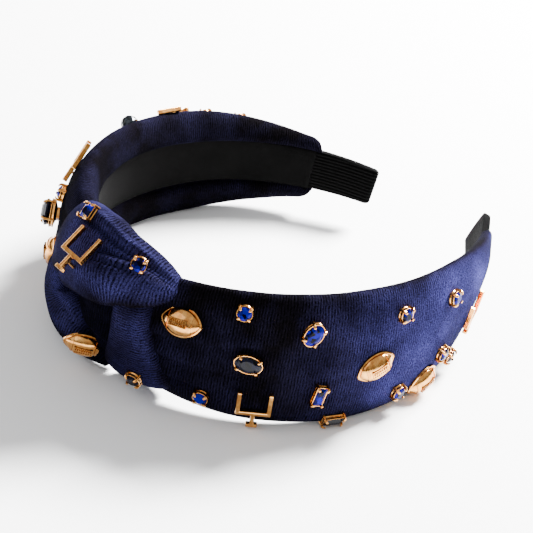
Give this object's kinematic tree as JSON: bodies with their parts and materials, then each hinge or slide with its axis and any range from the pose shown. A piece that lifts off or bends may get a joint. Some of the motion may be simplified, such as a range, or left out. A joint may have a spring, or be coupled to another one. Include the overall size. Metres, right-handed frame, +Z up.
{
  "type": "knotted headband",
  "caption": "Wide padded velvet headband bent into an open loop, with a top knot, black ribbed ends and gold and blue ornaments on its outer face.",
  "frame": {"origin": "on the rest surface under the middle of the knot, in the band's plane of symmetry", "axes": "+Z up across the band's width as it lies on its lower edge, +X from the knot towards the open ends, +Y towards the far arm"},
  "size_m": [0.1723, 0.1427, 0.0604],
  "materials": {
    "velvet": "navy velvet pile with a soft sheen",
    "sponge": "open foam, hidden under the velvet",
    "strip_plastic": "moulded black plastic",
    "lining_ribbon": "matt black velvet ribbon",
    "ribbed_ribbon": "matt black ribbon with fine ribs",
    "gold_plate": "polished rose gold plate",
    "blue_stone": "faceted, foil backed",
    "dark_stone": "faceted, foil backed",
    "dark_pearl": "faceted, pearly"
  },
  "bodies": {
    "root": {"core": "strip_plastic", "sponge": "sponge", "velvet_near": "velvet", "velvet_far": "velvet", "knot_core": "velvet", "wrap_top": "velvet", "wrap_side": "velvet", "wrap_under": "velvet", "lining": "lining_ribbon", "tip_near": "ribbed_ribbon", "tip_far": "ribbed_ribbon", "settings_near": "gold_plate", "settings_knot": "gold_plate", "settings_far": "gold_plate", "football_1": "gold_plate", "football_2": "gold_plate", "football_3": "gold_plate", "football_4": "gold_plate", "football_5": "gold_plate", "football_6": "gold_plate", "goal_1": "gold_plate", "goal_2": "gold_plate", "goal_3": "gold_plate", "goal_4": "gold_plate", "goal_5": "gold_plate", "stone_n1": "blue_stone", "stone_n2": "blue_stone", "stone_n3": "dark_stone", "stone_n4": "blue_stone", "stone_n5": "blue_stone", "stone_n6": "dark_stone", "stone_n7": "blue_stone", "stone_n8": "blue_stone", "stone_n9": "blue_stone", "stone_n10": "blue_stone", "stone_n11": "dark_stone", "stone_k1": "blue_stone", "stone_k2": "blue_stone", "stone_k3": "dark_stone", "stone_f1": "blue_stone", "stone_f2": "blue_stone", "stone_f3": "blue_stone", "stone_f4": "dark_stone", "stone_f5": "blue_stone", "stone_f6": "dark_stone", "stone_f7": "blue_stone", "stone_f8": "blue_stone", "pearl": "dark_pearl"}
  },
  "joints": []
}
